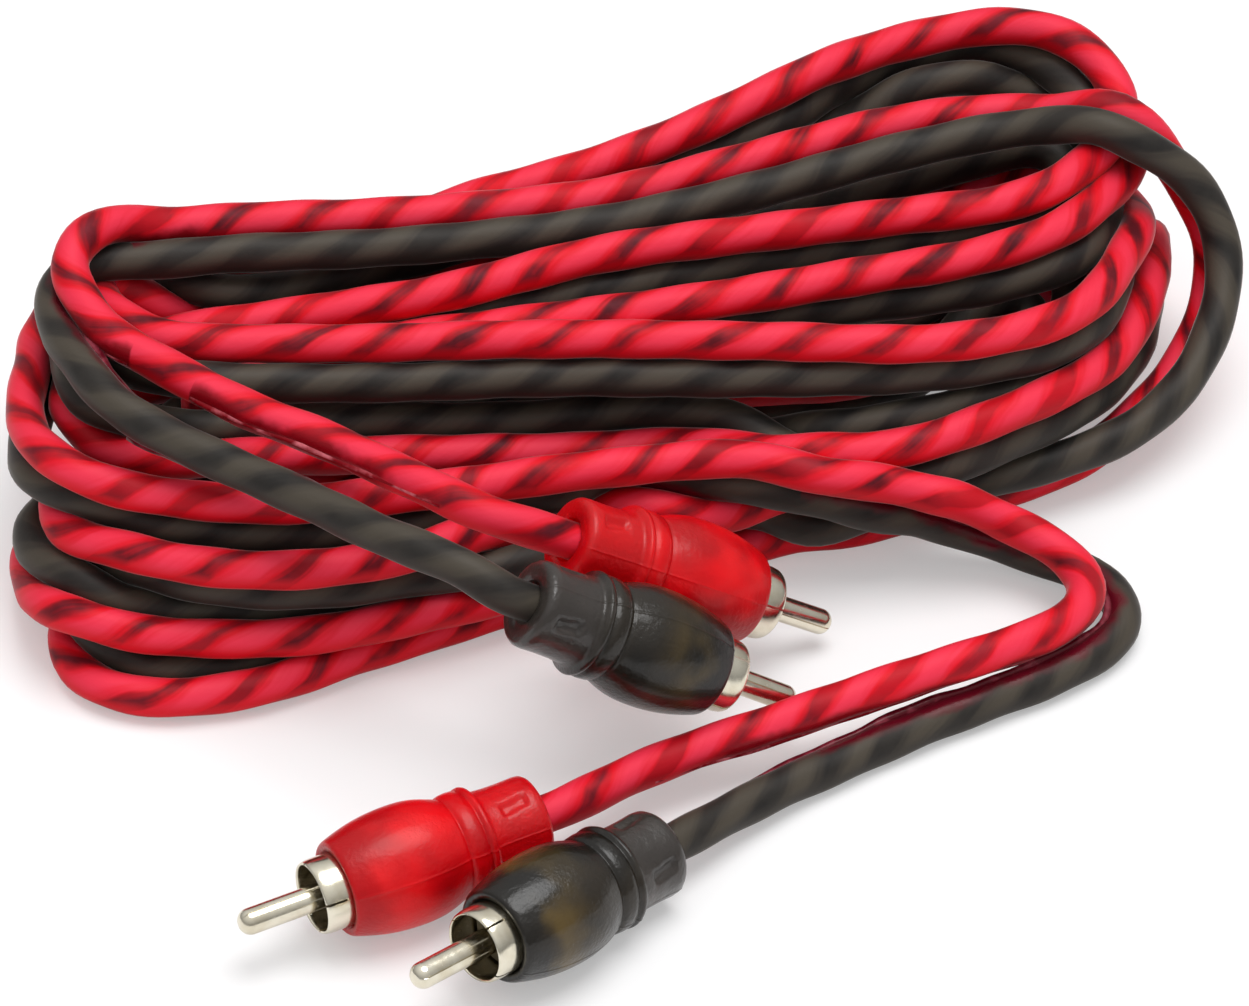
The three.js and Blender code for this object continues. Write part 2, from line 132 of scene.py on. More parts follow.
# Where the middle of each jacket passes, as pixels of the picture and a height in millimetres, for the
# red one and then the smoke one, turn after turn.
TURNS = [
    # the upper leads fold back on the left
    ((68, 264, 33), (55, 302, 30.8)), ((98, 240, 32.6), (74, 270, 30.5)),
    ((200, 224, 31.5), (200, 256, 29.8)), ((400, 216, 31), (400, 246, 29.5)),
    ((600, 198, 31), (600, 223, 29)), ((760, 159, 31), (760, 188, 29)),
    ((900, 124, 31), (900, 151, 29.5)),
    # round the wide loop on the right
    ((1030, 112, 29.3), (1040, 127, 31)), ((1114, 128, 26.5), (1120, 136, 29.5)),
    ((1184, 184, 22), (1193, 182, 25)), ((1213, 256, 14), (1224, 258, 17)),
    ((1190, 347, 8), (1200, 358, 10.8)), ((1132, 419, 4.8), (1140, 425, 8.2)),
    ((1060, 469, 3), (1050, 463, 7)),
    # along the front on the floor
    ((950, 503, 2.4), (950, 487, 6.5)), ((840, 531, 2.4), (840, 507, 6.8)),
    ((720, 550, 2.4), (720, 512, 6)), ((590, 578, 2.4), (590, 545, 5.5)),
    # the third loop on the left
    ((440, 611, 5.5), (440, 579, 8.8)), ((280, 638, 8), (280, 606, 9)),
    ((120, 630, 8), (120, 598, 9)), ((40, 590, 6.5), (40, 560, 9)),
    ((33, 545, 4.5), (42, 525, 9.5)),
    # back inside the hank
    ((90, 500, 3), (110, 470, 8.5)), ((450, 440, 3), (450, 405, 8.5)),
    ((900, 350, 3), (900, 316, 8.5)),
    # round the lowest loop on the right
    ((1090, 262, 4), (1080, 240, 9.5)), ((1148, 250, 12.5), (1130, 262, 8)),
    ((1143, 305, 14.5), (1135, 330, 9)), ((1095, 367, 16), (1100, 392, 11)),
    ((1000, 416, 17), (1000, 445, 12)), ((860, 455, 17), (860, 485, 12.5)),
    # along the front, under the leads
    ((700, 450, 13), (700, 410, 16)), ((520, 453, 15), (520, 420, 16)),
    ((300, 457, 18), (300, 421, 18.5)),
    # a loop on the left, under the upper leads
    ((140, 452, 22), (140, 428, 23.5)), ((76, 418, 22), (78, 398, 25)),
    ((70, 385, 20), (75, 372, 25)),
    # back inside the hank
    ((130, 330, 14), (130, 310, 19.5)), ((500, 325, 14), (500, 290, 19.5)),
    ((780, 250, 14.5), (780, 213, 20)), ((900, 219, 15), (900, 181, 20)),
    ((985, 194, 15.5), (978, 160, 20.5)),
    # round the right end
    ((1070, 170, 16), (1060, 150, 21)), ((1120, 205, 20), (1100, 225, 15.5)),
    ((1126, 245, 21.5), (1115, 275, 17.5)), ((1080, 310, 23), (1080, 336, 19.5)),
    ((960, 342, 25), (960, 368, 21.5)), ((760, 342, 27), (760, 377, 23)),
    ((560, 340, 27.5), (560, 376, 24)), ((330, 344, 28), (330, 383, 24.5)),
    # a loop on the left, under the upper leads
    ((170, 338, 28.2), (150, 375, 26)), ((104, 317, 26.5), (98, 346, 25)),
    ((112, 292, 24), (108, 316, 22)),
    # along the back
    ((200, 316, 19), (200, 288, 17.5)), ((450, 272, 18.5), (450, 243, 18)),
    ((650, 205, 17.5), (650, 178, 20)), ((830, 120, 21.5), (830, 115, 26)),
    ((960, 75, 25), (960, 79, 29)), ((1060, 72, 26.5), (1050, 98, 26.5)),
    ((1120, 112, 26), (1078, 138, 23.5)), ((1122, 160, 26), (1105, 185, 22.5)),
    # round the right end
    ((1075, 222, 26), (1085, 250, 22.5)), ((980, 257, 27), (1000, 282, 23.5)),
    ((860, 277, 28), (860, 304, 24.5)), ((700, 302, 28.5), (700, 325, 24)),
    ((520, 325, 27.5), (520, 350, 21.5)), ((330, 350, 23.5), (330, 372, 17.5)),
    # the middle of the cable, folded inside the hank
    ((230, 385, 18.5), (220, 405, 15.5)), ((185, 412, 14.5), (170, 425, 12)),
    ((230, 445, 10), (220, 450, 10.5)),
    # along the middle of the front
    ((350, 478, 6.5), (345, 452, 9.5)), ((550, 470, 6.5), (550, 445, 9.8)),
    ((700, 474, 7), (700, 447, 10.2)), ((860, 450, 11.8), (860, 427, 14.8)),
    ((1000, 410, 11.5), (1000, 396, 14.8)), ((1078, 366, 9.5), (1080, 352, 13)),
    ((1120, 290, 6), (1115, 275, 12)), ((1080, 230, 3.5), (1070, 215, 9)),
    # back along the floor
    ((900, 270, 2.8), (900, 236, 8.3)), ((500, 355, 2.8), (500, 320, 8.3)),
    ((180, 420, 2.8), (180, 385, 8.3)),
    # the lowest loop on the left
    ((85, 520, 2.8), (100, 500, 8)), ((78, 600, 2.8), (74, 596, 6.3)),
    ((80, 660, 2.8), (76, 630, 5.6)), ((140, 696, 2.75), (150, 668, 3)),
    ((260, 686, 2.75), (260, 660, 3)), ((380, 646, 2.75), (380, 622, 3)),
    ((560, 595, 2.75), (560, 565, 3)), ((740, 520, 2.75), (740, 490, 3)),
    ((900, 470, 2.75), (900, 440, 3)),
    # round the right end on the floor
    ((1010, 415, 2.8), (1000, 395, 3.5)), ((1060, 350, 2.8), (1035, 345, 4)),
    ((1040, 290, 2.8), (1015, 300, 5)),
    # back inside the hank
    ((900, 372, 6), (900, 386, 3)), ((500, 400, 5.5), (500, 425, 3)),
    ((200, 455, 8), (200, 478, 5)),
    # the second loop on the left
    ((95, 470, 11.5), (95, 500, 9.5)), ((62, 505, 13), (62, 525, 12)),
    ((75, 527, 15), (85, 555, 12.5)), ((160, 560, 16.5), (170, 580, 12.5)),
    ((300, 570, 17.5), (300, 590, 13)), ((440, 548, 15), (440, 572, 11.5)),
    ((600, 512, 11), (600, 537, 8.5)), ((740, 508, 10), (740, 482, 8)),
    # round the right end
    ((900, 478, 8), (900, 440, 8)), ((1030, 412, 6.5), (1020, 378, 8.5)),
    ((1090, 320, 10), (1070, 310, 14)), ((1050, 240, 11), (1035, 235, 15)),
    # back inside the hank
    ((900, 278, 8.5), (900, 256, 13)), ((500, 330, 11.5), (500, 300, 17)),
    ((200, 375, 11), (200, 368, 9.5)),
    # a loop on the left, under the upper leads
    ((112, 385, 13.5), (122, 382, 9)), ((104, 356, 18.5), (98, 372, 13)),
    ((132, 342, 23), (118, 352, 18.5)),
    # along the top, third from the back
    ((200, 330, 24.5), (205, 345, 20.5)), ((320, 313, 26), (320, 335, 23.2)),
    ((440, 294, 28.8), (440, 318, 25.2)), ((600, 256, 30), (600, 288, 26.5)),
    ((760, 234, 29.5), (760, 261, 26)), ((900, 217, 29), (900, 243, 25.5)),
    ((1020, 200, 28.5), (1040, 217, 25.2)),
    # round the right end, behind the wide loop
    ((1094, 160, 28), (1100, 178, 24)), ((1116, 112, 28.5), (1110, 142, 25)),
    ((1090, 58, 30.5), (1086, 98, 27)),
    # along the top of the back
    ((1010, 28, 31.5), (1000, 53, 27)), ((890, 46, 31.5), (900, 70, 27)),
    ((780, 90, 31), (780, 122, 26.5)), ((660, 142, 30), (660, 170, 25)),
    ((540, 182, 28), (540, 210, 23)), ((400, 222, 24), (400, 268, 22)),
    ((200, 278, 21), (200, 298, 23.5)), ((120, 272, 20), (128, 292, 19)),
    # the outermost loop on the left
    ((66, 298, 20.5), (74, 322, 16.5)), ((38, 360, 22), (45, 395, 17)),
    ((24, 405, 22), (26, 448, 17)), ((45, 457, 22), (45, 490, 17)),
    ((100, 483, 22), (100, 512, 17)),
    # over the others and out to the front leads
    ((260, 505, 22), (260, 535, 17)), ((400, 494, 21), (400, 524, 16.5)),
    ((560, 474, 19.5), (560, 500, 14)), ((720, 460, 18.5), (720, 487, 13)),
    ((830, 471, 16.3), (830, 501, 10.6)),
]

FINE_STEP = 0.001


def even_steps(line, step):
    """The line again, with points an even step apart."""
    run = np.concatenate([[0], np.cumsum(np.linalg.norm(np.diff(line, axis=0), axis=1))])
    at = np.linspace(0, run[-1], int(round(run[-1] / step)) + 1)
    return np.stack([np.interp(at, run, line[:, k]) for k in range(3)], 1)


def whole_length(first, corners, last):
    """One jacket from plug to plug, and which of its points belong to the leads, which stay put."""
    points = np.vstack([first, corners, last])
    spans = [max(2, round(np.linalg.norm(b - a) / FINE_STEP)) for a, b in zip(points[:-1], points[1:])]
    fine = along(points, spans)
    run = np.concatenate([[0], np.cumsum(np.linalg.norm(np.diff(fine, axis=0), axis=1))])
    line = even_steps(fine, STEP)
    at = np.linspace(0, run[-1], len(line))
    start, end = run[sum(spans[:len(first) - 1])], run[sum(spans[:len(first) + len(corners)])]
    return line, (at < start) | (at > end)


# How the laid pair settles, round after round.
# Pairs of points within 1.6 thicknesses are listed again every ten rounds, apart from near neighbours.
SETTLING_ROUNDS, LIST_EVERY, LISTED_WITHIN = 240, 10, 1.6
PARTNER_WINDOW, NEIGHBOURS, ROWS_AT_ONCE = 14, 5, 512
# The shares of an overlap and of a sharp bend that one round takes away.
PUSH, STIFFNESS = 1.2, 0.3
# The pull back to the drawn route: strong across the camera's line of sight, weak along it.
BACK_ACROSS, BACK_ALONG = 0.05, 0.006
# The middle of a jacket comes no closer to the floor than this.
LOWEST_MIDDLE = 0.0025
TINY = 1e-9


def partners(red, smoke):
    """For each point of the red jacket, the nearest smoke one at about the same place along."""
    beside = np.zeros(len(red), int)
    for i in range(len(red)):
        guess = round(i * (len(smoke) - 1) / (len(red) - 1))
        low, high = max(0, guess - PARTNER_WINDOW), min(len(smoke), guess + PARTNER_WINDOW + 1)
        beside[i] = low + np.argmin(np.linalg.norm(smoke[low:high] - red[i], axis=1))
    return beside


def near_pairs(points, jacket, number):
    """Pairs of points that may meet soon, without the neighbours on one jacket."""
    found = []
    for low in range(0, len(points), ROWS_AT_ONCE):
        some = points[low:low + ROWS_AT_ONCE, None].astype(np.float32)
        some = some - points[None].astype(np.float32)
        i, j = np.nonzero((some ** 2).sum(2) < (LISTED_WITHIN * CORD) ** 2)
        i += low
        apart = (i < j) & ((jacket[i] != jacket[j]) | (np.abs(number[i] - number[j]) > NEIGHBOURS))
        found.append(np.stack([i[apart], j[apart]], 1))
    return np.vstack(found)


def push_apart(points, pairs):
    """Moves points away from each other where two jackets run into each other."""
    i, j = pairs.T
    gap = points[j] - points[i]
    far = np.linalg.norm(gap, axis=1)
    close = far < CORD
    i, j, gap, far = i[close], j[close], gap[close], far[close]
    push = ((CORD - far) / 2 / np.maximum(far, TINY))[:, None] * gap
    move, hits = np.zeros_like(points), np.zeros(len(points))
    np.add.at(move, i, -push)
    np.add.at(move, j, push)
    np.add.at(hits, i, 1)
    np.add.at(hits, j, 1)
    points += PUSH * move / np.maximum(hits, 1)[:, None]


def pull_level(points, joined, beside):
    """Brings the two jackets of the pair to the distance that the web keeps them at."""
    gap = points[beside] - points[joined]
    far = np.linalg.norm(gap, axis=1, keepdims=True)
    pull = (far - SIDE_BY_SIDE) / 4 * gap / np.maximum(far, TINY)
    points[joined] += pull
    np.add.at(points, beside, -pull)


def spread_bends(part):
    """The jacket's own stiffness, which spreads a sharp bend along it."""
    bend, spring = np.zeros_like(part), np.zeros_like(part)
    bend[1:-1] = (part[:-2] + part[2:]) / 2 - part[1:-1]
    spring[1:-1] = (bend[:-2] + bend[2:]) / 2 - bend[1:-1]
    part -= STIFFNESS * spring


def settle(red, red_held, smoke, smoke_held):
    """Lets the two jackets push each other apart, pull level with each other and rest on the floor."""
    points = np.vstack([red, smoke])
    start, held = points.copy(), np.concatenate([red_held, smoke_held])
    count = len(red)
    jacket = np.arange(len(points)) >= count
    number = np.concatenate([np.arange(count), np.arange(len(smoke))])
    beside = count + partners(red, smoke)
    joined = np.nonzero(~(held[:count] | held[beside]))[0]
    beside = beside[joined]
    sight = start - eye
    sight /= np.linalg.norm(sight, axis=1, keepdims=True)
    for turn in range(SETTLING_ROUNDS):
        if turn % LIST_EVERY == 0:
            pairs = near_pairs(points, jacket, number)
        push_apart(points, pairs)
        pull_level(points, joined, beside)
        spread_bends(points[:count])
        spread_bends(points[count:])
        back = start - points
        deep = (back * sight).sum(1, keepdims=True) * sight
        points += BACK_ACROSS * (back - deep) + BACK_ALONG * deep
        points[:, 2] = np.maximum(points[:, 2], LOWEST_MIDDLE)
        points[held] = start[held]
    return points[:count], points[count:]


corners = {jacket: np.array([place_on_picture(*turn[k]) for turn in TURNS])
           for k, jacket in enumerate(("red", "smoke"))}
laid = [whole_length(lead(f"upper_{jacket}")[::-1], corners[jacket], lead(f"front_{jacket}"))
        for jacket in ("red", "smoke")]
lines = dict(zip(("red", "smoke"), settle(*laid[0], *laid[1])))
lines = {jacket: along(line, [2] * (len(line) - 1)) for jacket, line in lines.items()}


def ring_frames(line):
    """Directions along and across the line at each point, carried on without twist."""
    ahead = np.gradient(line, axis=0)
    ahead /= np.linalg.norm(ahead, axis=1, keepdims=True)
    across = np.zeros_like(line)
    side = np.cross(ahead[0], (0, 0, 1))
    for i, way in enumerate(ahead):
        side = side - way * side.dot(way)
        side /= np.linalg.norm(side)
        across[i] = side
    return ahead, across, np.cross(ahead, across)


def mesh_piece(name, points, faces):
    mesh = bpy.data.meshes.new(name)
    mesh.from_pydata([tuple(p) for p in points], [], faces)
    mesh.validate()
    mesh.shade_smooth()
    piece = bpy.data.objects.new(name, mesh)
    bpy.context.scene.collection.objects.link(piece)
    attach(piece, "root")
    return piece


# The pair inside makes the jacket a little oval, and the oval leans round it once in every STRIPE.
CORD_SIDES = 16
STRIPE = 0.0103
STARTS = 2
OVAL = 0.03
# Where the web was torn to part the leads: from and to, measured from the jackets' ends in the plugs.
TORN = {"upper": (0.024, 0.118), "front": (0.024, 0.165)}
WEB_REACH = {"red": 0.0003, "smoke": 0.0009}
WEB_ROOT, WEB_ROOT_HALF, WEB_EDGE_HALF = 0.0004, 0.0006, 0.0001
WEB_TAPER = 8
SEAM_FADE = 0.012
# The UV of the torn web is kept apart from the jacket's.
ON_WEB = -1


def towards(line, ahead, other, i):
    """The direction square to the line at this point that faces the other jacket."""
    out = other[np.argmin(np.linalg.norm(other - line[i], axis=1))] - line[i]
    out -= ahead[i] * out.dot(ahead[i])
    return out / np.linalg.norm(out)


def torn_web(line, run, near, far, reach, other):
    """What is left of the web along a lead: a thin ragged fin on the side that faces the other jacket."""
    ahead = ring_frames(line)[0]
    chosen = np.nonzero((run > near) & (run < far))[0]
    points = []
    for i in chosen:
        out = towards(line, ahead, other, i)
        up = np.cross(ahead[i], out)
        part = (run[i] - near) / (far - near)
        ragged = 0.7 + 0.2 * math.sin(run[i] * 330) + 0.1 * math.sin(run[i] * 870 + 1)
        tip = CORD / 2 + reach * ragged * min(1, WEB_TAPER * part, WEB_TAPER * (1 - part))
        for radius, half in ((CORD / 2 - WEB_ROOT, WEB_ROOT_HALF), (tip, WEB_EDGE_HALF)):
            points += [line[i] + out * radius + up * half, line[i] + out * radius - up * half]
    faces = []
    for i in range(len(chosen) - 1):
        a, b = 4 * i, 4 * i + 4
        faces += [(a + j, a + k, b + k, b + j) for j, k in ((0, 2), (2, 3), (3, 1), (1, 0))]
    last = 4 * (len(chosen) - 1)
    return np.array(points), faces + [(0, 1, 3, 2), (last, last + 2, last + 3, last + 1)]


def seam_mark(line, run, spans, other):
    """How much of the web's red each ring point carries: the side that was torn from the other jacket. On
    the smoke jacket this red also stands for a painted reflection of the red jacket beside it.
    """
    ahead, across, over = ring_frames(line)
    turn = np.arange(CORD_SIDES) / CORD_SIDES * 2 * math.pi
    mark = np.zeros((len(line), CORD_SIDES))
    for near, far in spans:
        for i in np.nonzero((run > near) & (run < far))[0]:
            out = towards(line, ahead, other, i)
            facing = np.cos(turn) * across[i].dot(out) + np.sin(turn) * over[i].dot(out)
            fade = min(1, (run[i] - near) / SEAM_FADE, (far - run[i]) / SEAM_FADE)
            mark[i] = fade * facing
    return mark.ravel()


def tube_faces(run):
    """The tube's faces, with their UV: STRIPE lengths along the jacket, and the turn round it."""
    faces, uv = [], []
    for i in range(len(run) - 1):
        for k in range(CORD_SIDES):
            n = (k + 1) % CORD_SIDES
            a, b = i * CORD_SIDES, (i + 1) * CORD_SIDES
            faces.append((a + k, a + n, b + n, b + k))
            here, there = run[i] / STRIPE, run[i + 1] / STRIPE
            low, high = STARTS * k / CORD_SIDES, STARTS * (k + 1) / CORD_SIDES
            uv += [(here, low), (here, high), (there, high), (there, low)]
    last = (len(run) - 1) * CORD_SIDES
    faces += [tuple(range(CORD_SIDES - 1, -1, -1)), tuple(range(last, last + CORD_SIDES))]
    uv += [(0, 0)] * CORD_SIDES + [(run[-1] / STRIPE, 0)] * CORD_SIDES
    return faces, uv


def jacket_tube(jacket):
    """The jacket with its torn web, and two marks on each point: the web's red with its painted reflection,
    and how much it faces down.

    Where it faces down, the finish paints light from the floor coming through the jacket.
    """
    line = lines[jacket]
    ahead, across, over = ring_frames(line)
    run = np.concatenate([[0], np.cumsum(np.linalg.norm(np.diff(line, axis=0), axis=1))])
    turn = np.arange(CORD_SIDES) / CORD_SIDES * 2 * math.pi
    swell = 1 + OVAL * np.cos(STARTS * turn[None] + 2 * math.pi * run[:, None] / STRIPE)
    ring = np.cos(turn)[None, :, None] * across[:, None] + np.sin(turn)[None, :, None] * over[:, None]
    points = (line[:, None] + CORD / 2 * swell[..., None] * ring).reshape(-1, 3)
    faces, uv = tube_faces(run)
    other = lines["smoke" if jacket == "red" else "red"]
    spans = (TORN["upper"], tuple(run[-1] - s for s in TORN["front"][::-1]))
    for near, far in spans:
        fin, fin_faces = torn_web(line, run, near, far, WEB_REACH[jacket], other)
        base = len(points)
        points = np.vstack([points, fin])
        faces += [tuple(base + i for i in face) for face in fin_faces]
        uv += [(0, ON_WEB)] * 4 * len(fin_faces)
    piece = mesh_piece(f"{jacket}_jacket", points, faces)
    piece.data.uv_layers.new(name="lay").data.foreach_set("uv", np.array(uv).ravel())
    marks = {"seam": seam_mark(line, run, spans, other), "under": -ring[..., 2].ravel()}
    for key, value in marks.items():
        layer = piece.data.attributes.new(key, "FLOAT", "POINT")
        layer.data.foreach_set("value", np.concatenate([value, np.zeros(len(points) - len(value))]))
    return piece, float(run[-1])


class Mixer:
    """A material's node tree, with short calls for the nodes that these materials use."""

    def __init__(self, name):
        self.material = bpy.data.materials.new(name)
        self.material.use_nodes = True
        self.nodes = self.material.node_tree.nodes
        self.wires = self.material.node_tree.links
        self.shader = self.nodes["Principled BSDF"]

    def give(self, socket, value):
        """Puts a constant on a socket, or wires another node's output to it."""
        if isinstance(value, bpy.types.NodeSocket):
            self.wires.new(value, socket)
        else:
            socket.default_value = value

    def node(self, kind, inputs=None, **settings):
        made = self.nodes.new(kind)
        for key, value in settings.items():
            setattr(made, key, value)
        for key, value in (inputs or {}).items():
            self.give(made.inputs[key], value)
        return made

    def place(self):
        return self.node("ShaderNodeTexCoord").outputs["Object"]

    def on_map(self, name):
        """The two parts of a UV map."""
        uv = self.node("ShaderNodeUVMap", uv_map=name).outputs[0]
        return self.node("ShaderNodeSeparateXYZ", {0: uv}).outputs

    def mark(self, name):
        return self.node("ShaderNodeAttribute", attribute_name=name).outputs["Fac"]

    def maths(self, operation, *values):
        return self.node("ShaderNodeMath", dict(enumerate(values)), operation=operation).outputs[0]

    def rest_of(self, share):
        return self.maths("SUBTRACT", 1.0, share)

    def noise(self, where, scale, detail=2.0):
        inputs = {"Vector": where, "Scale": scale, "Detail": detail}
        return self.node("ShaderNodeTexNoise", inputs).outputs[0]

    def sway(self, where, scale, detail, amount):
        """Noise that swings about zero by this amount."""
        centred = self.maths("SUBTRACT", self.noise(where, scale, detail), 0.5)
        return self.maths("MULTIPLY", centred, amount)

    def ramp(self, value, low, high):
        inputs = {"Value": value, "From Min": low, "From Max": high}
        return self.node("ShaderNodeMapRange", inputs, interpolation_type="SMOOTHSTEP").outputs[0]

    def blend(self, share, first, second):
        inputs = {0: share, 6: first, 7: second}
        return self.node("ShaderNodeMix", inputs, data_type="RGBA").outputs[2]

    def bump(self, height, distance, strength):
        inputs = {"Height": height, "Distance": distance, "Strength": strength}
        self.wires.new(self.node("ShaderNodeBump", inputs).outputs[0], self.shader.inputs["Normal"])

    def set(self, **sockets):
        for key, value in sockets.items():
            self.give(self.shader.inputs[key.replace("_", " ")], value)


def colour(red, green, blue):
    """A colour as it is seen, in 0 to 255, made linear for the shader."""
    seen = [part / 255 for part in (red, green, blue)]
    return (*[s / 12.92 if s < 0.0405 else ((s + 0.055) / 1.055) ** 2.4 for s in seen], 1)


def dress(piece, finish):
    piece.data.materials.clear()
    piece.data.materials.append(finish.material)


PAIR_ROUND, PAIR_ALONG = 0.6, 0.7
SEAM_FROM, SEAM_FULL = 0.45, 0.95
# Painted light from below: where a jacket faces down, it is painted in its deep tone and its dark ticks are
# filled.
PAINTED_UNDERSIDE_RANGE = (-0.55, 0.2)
PAINTED_UNDERSIDE_FILL, PAINTED_UNDERSIDE_DEEPEN = 0.8, 0.85
JACKET_ROUGH, WEB_GLOSS = 0.55, 0.3
SATIN = {"Specular_IOR_Level": 0.3, "Coat_Weight": 1.0, "Coat_Roughness": 0.5, "Coat_IOR": 1.06,
         "Sheen_Roughness": 0.3}


def pair_inside(mix, place, lay):
    """The twisted pair as a wave that slants round the jacket, and streaks that run along its wires."""
    turned = mix.maths("ADD", mix.maths("ADD", lay[0], lay[1]), mix.sway(place, 60, 2, 0.9))
    angle = mix.maths("MULTIPLY", turned, 2 * math.pi)
    wave = mix.maths("COSINE", angle)
    round_pair = mix.node("ShaderNodeCombineXYZ", {
        0: mix.maths("MULTIPLY", wave, PAIR_ROUND),
        1: mix.maths("MULTIPLY", mix.maths("SINE", angle), PAIR_ROUND),
        2: mix.maths("MULTIPLY", lay[0], PAIR_ALONG)}).outputs[0]
    return wave, mix.maths("SUBTRACT", mix.noise(round_pair, 2.4, 1.5), 0.5)


def jacket_finish(name, bright, deep, between, shade, web, torn_edge):
    """The twisted pair seen through the jacket: long soft patches with painted highlights in their hearts,
    the web's red on the torn side with a painted reflection of the red jacket on the smoke one, and painted
    light from below where the jacket faces down.
    """
    mix = Mixer(name)
    place, lay = mix.place(), mix.on_map("lay")
    wave, streak = pair_inside(mix, place, lay)
    uneven = mix.maths("ADD", wave, mix.maths("ADD", mix.sway(place, 150, 3, 1.6), streak))
    # lit is painted light from below, strongest where the jacket faces the floor.
    lit = mix.ramp(mix.mark("under"), *PAINTED_UNDERSIDE_RANGE)
    patch = mix.maths("MAXIMUM", mix.ramp(uneven, -1.3, -0.15), mix.maths("MULTIPLY", lit, PAINTED_UNDERSIDE_FILL))
    faint = mix.maths("MULTIPLY", mix.ramp(mix.noise(place, 42), 0.44, 0.66), 0.65)
    # The heart of each patch is the wire seen through the jacket, with a painted highlight along it.
    heart_and_highlight = mix.ramp(mix.maths("ADD", wave, mix.maths("MULTIPLY", streak, 1.6)), -0.7, 1.0)
    painted_underside_deepening = mix.rest_of(mix.maths("MULTIPLY", lit, PAINTED_UNDERSIDE_DEEPEN))
    body = mix.blend(mix.maths("MULTIPLY", heart_and_highlight, painted_underside_deepening), deep, bright)
    gap = mix.blend(mix.ramp(mix.noise(place, 240, 3), 0.35, 0.65), shade, between)
    cord = mix.blend(mix.maths("MAXIMUM", patch, faint), gap, body)
    on_web = mix.maths("LESS_THAN", lay[1], ON_WEB / 2)
    torn = mix.blend(mix.ramp(mix.noise(place, 420, 3), 0.45, 0.7), web, torn_edge)
    # The side facing the other jacket takes the web's red: torn web, and on the smoke jacket also a painted
    # reflection of the red jacket.
    flecked = mix.maths("ADD", mix.mark("seam"), mix.sway(place, 190, 3, 1.2))
    web_red_and_reflection = mix.ramp(flecked, SEAM_FROM, SEAM_FULL)
    glossy = mix.maths("MULTIPLY", mix.maths("MAXIMUM", on_web, web_red_and_reflection), WEB_GLOSS)
    mix.set(Base_Color=mix.blend(on_web, mix.blend(web_red_and_reflection, cord, web), torn),
            Roughness=mix.maths("SUBTRACT", JACKET_ROUGH, glossy), **SATIN)
    mix.bump(mix.noise(place, 2200, 3), 0.00004, 0.6)
    return mix


# Per jacket: bright (the patch hearts, with their painted highlight), deep (also the painted underside),
# between, shade, web (on the smoke jacket also a painted reflection of the red one), torn edge.
jacket_finishes = {
    "red": jacket_finish("red_jacket", colour(255, 70, 98), colour(240, 12, 38), colour(112, 30, 44),
                         colour(78, 12, 26), colour(150, 6, 26), colour(240, 150, 158)),
    "smoke": jacket_finish("smoke_jacket", colour(82, 76, 67), colour(57, 53, 49), colour(45, 43, 41),
                           colour(31, 30, 30), colour(104, 8, 30), colour(160, 60, 78))}
jacket_finishes["red"].set(Coat_Tint=(0.86, 0.6, 0.64, 1), Sheen_Weight=0.4, Sheen_Tint=(0.8, 0.62, 0.64, 1))
jacket_finishes["smoke"].set(Coat_Tint=(0.8, 0.78, 0.76, 1), Sheen_Weight=0.42,
                             Sheen_Tint=(0.72, 0.7, 0.67, 1))
for jacket, finish in jacket_finishes.items():
    piece, length = jacket_tube(jacket)
    dress(piece, finish)
    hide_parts("hank", f"front_{jacket}_cord", f"upper_{jacket}_cord")


# The four overmoulds.
# Each plug's shell is soft translucent plastic, shot over the metal parts and the cord in a two-part
# mould: a barrel to grip, a band with a bead behind it, and a tail with shallow recesses over the cord.
SHELL_SIDES = 88
PARTING = {"front_red": 26, "front_smoke": -24, "upper_red": 151, "upper_smoke": 114}
BARREL = [(0.0, 5.42), (0.12, 5.62), (0.35, 5.8), (1.2, 6.1), (2.4, 6.45), (4.2, 6.88), (6.5, 7.2),
          (9.0, 7.3), (11.0, 7.18), (12.6, 6.85), (13.8, 6.45), (14.5, 6.2)]
BAND = [(14.72, 6.12), (14.86, 5.92), (15.06, 5.92), (15.2, 6.16), (15.7, 6.3), (16.5, 6.36),
        (17.2, 6.32), (17.4, 6.05), (17.62, 6.05), (17.8, 6.42), (18.15, 6.48), (18.45, 6.36),
        (18.6, 5.85)]
TAIL = [(18.9, 5.56), (19.6, 5.46), (21, 5.36), (23, 5.34), (24.9, 5.42), (25.6, 5.36), (26.0, 5.1),
        (26.2, 4.7)]
BORE = [(26.2, 2.85), (26.0, 2.7), (16.9, 2.7), (16.75, 4.8), (0.1, 4.8)]
RIDGE_HEIGHT, RIDGE_HALF_WIDTH = 0.07, 0.2
RECESS_HALF_LENGTH, RECESS_HALF_WIDTH, RECESS_DEPTH, RECESS_AT = 1.7, 0.72, 0.55, 22.5
RECESS_LEAN, RECESS_EDGE = 0.03, 0.35
CLOSE_TO_RIDGE, CLEAR_OF_RIDGE = (0, 0.012, 0.026, 0.045), 0.06
TAIL_STEP = 0.3


def plug_axes(name):
    """The middle of the plug's face, and its directions to the side, up and along the pin."""
    face, heading, lift = PLUGS[name]
    ahead = pin_way(heading, lift)
    side = np.cross((0, 0, 1), ahead)
    side /= np.linalg.norm(side)
    return np.array(face), side, np.cross(ahead, side), ahead


def plug_place(name, points):
    """Points in millimetres along the plug, pin along +z and +y up, put where the plug lies."""
    face, side, rise, ahead = plug_axes(name)
    points = np.asarray(points)
    return (face + points[:, :1] * side + points[:, 1:2] * rise + points[:, 2:] * ahead) / 1000


def rings_of(outline, angles, push=None):
    """Rings round the plug's axis for stations of (distance behind the face, radius)."""
    points = []
    for back, radius in outline:
        for angle in angles:
            r = radius + (push(back, radius, angle) if push else 0)
            points.append((r * math.cos(angle), r * math.sin(angle), -back))
    return points


